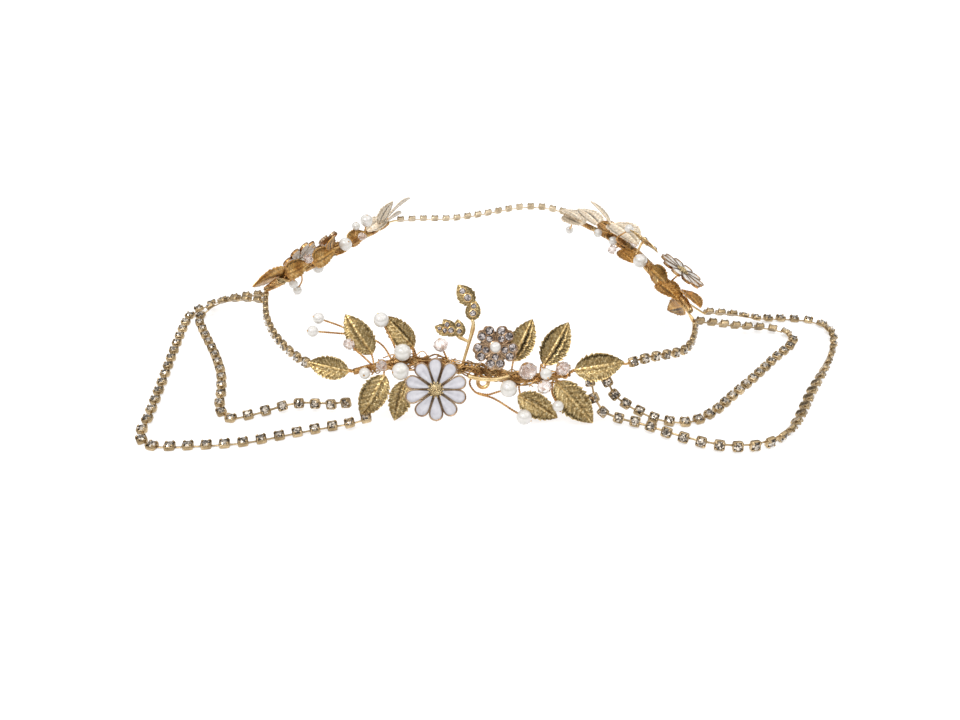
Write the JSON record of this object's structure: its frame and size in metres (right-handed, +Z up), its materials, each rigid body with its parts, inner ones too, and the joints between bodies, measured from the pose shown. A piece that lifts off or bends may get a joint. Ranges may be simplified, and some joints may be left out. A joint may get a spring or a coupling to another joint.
{
  "type": "hair chain",
  "caption": "Rhinestone cup-chain head halo with three sprays of stamped leaves, pearls, crystals and flowers, and a double chain swag at each side.",
  "frame": {"origin": "middle of the footprint, at the height of the surface that the chain lies on", "axes": "+X to the wearer's left side as laid out, -Y towards the forehead spray, +Z up from the surface"},
  "size_m": [0.2892, 0.1992, 0.0453],
  "materials": {
    "gold_chain": "gold-plated cup chain with clear stones",
    "leaf_gold": "pale champagne gold plating, stamped",
    "copper_gold": "copper-gold wrapping wire",
    "pearl": "ivory imitation pearl",
    "crystal": "faceted clear to pale pink",
    "enamel": "gloss white enamel with gold rims",
    "rhinestone": "gold petals set with pale grey stones"
  },
  "bodies": {
    "root": {"band_back": "gold_chain", "band_left": "gold_chain", "band_right": "gold_chain", "swag_left_inner": "gold_chain", "swag_left_outer": "gold_chain", "swag_right_inner": "gold_chain", "swag_right_outer": "gold_chain", "front_stem": "copper_gold", "front_leaf_01": "leaf_gold", "front_leaf_02": "leaf_gold", "front_leaf_03": "leaf_gold", "front_leaf_04": "leaf_gold", "front_leaf_05": "leaf_gold", "front_leaf_06": "leaf_gold", "front_leaf_07": "leaf_gold", "front_leaf_08": "leaf_gold", "front_leaf_09": "leaf_gold", "front_leaf_10": "leaf_gold", "front_pearl_01": "pearl", "front_pearl_02": "pearl", "front_pearl_03": "pearl", "front_pearl_04": "pearl", "front_pearl_05": "pearl", "front_pearl_06": "pearl", "front_pearl_07": "pearl", "front_pearl_08": "pearl", "front_pearl_09": "pearl", "front_pearl_10": "pearl", "front_crystal_01": "crystal", "front_crystal_02": "crystal", "front_crystal_03": "crystal", "front_crystal_04": "crystal", "front_crystal_05": "crystal", "front_crystal_06": "crystal", "front_daisy": "enamel", "front_flower": "rhinestone", "front_sprig": "leaf_gold", "front_ring": "copper_gold", "left_stem": "leaf_gold", "left_daisy": "enamel", "left_flower": "rhinestone", "left_pearl_01": "pearl", "left_pearl_02": "pearl", "left_pearl_03": "pearl", "left_pearl_04": "pearl", "left_pearl_05": "pearl", "left_pearl_06": "pearl", "left_crystal_01": "crystal", "left_crystal_02": "crystal", "right_stem": "leaf_gold", "right_daisy": "enamel", "right_sprig": "leaf_gold", "right_pearl_01": "pearl", "right_pearl_02": "pearl", "right_pearl_03": "pearl", "right_pearl_04": "pearl", "right_pearl_05": "pearl", "right_crystal_01": "crystal", "right_crystal_02": "crystal"}
  },
  "joints": []
}
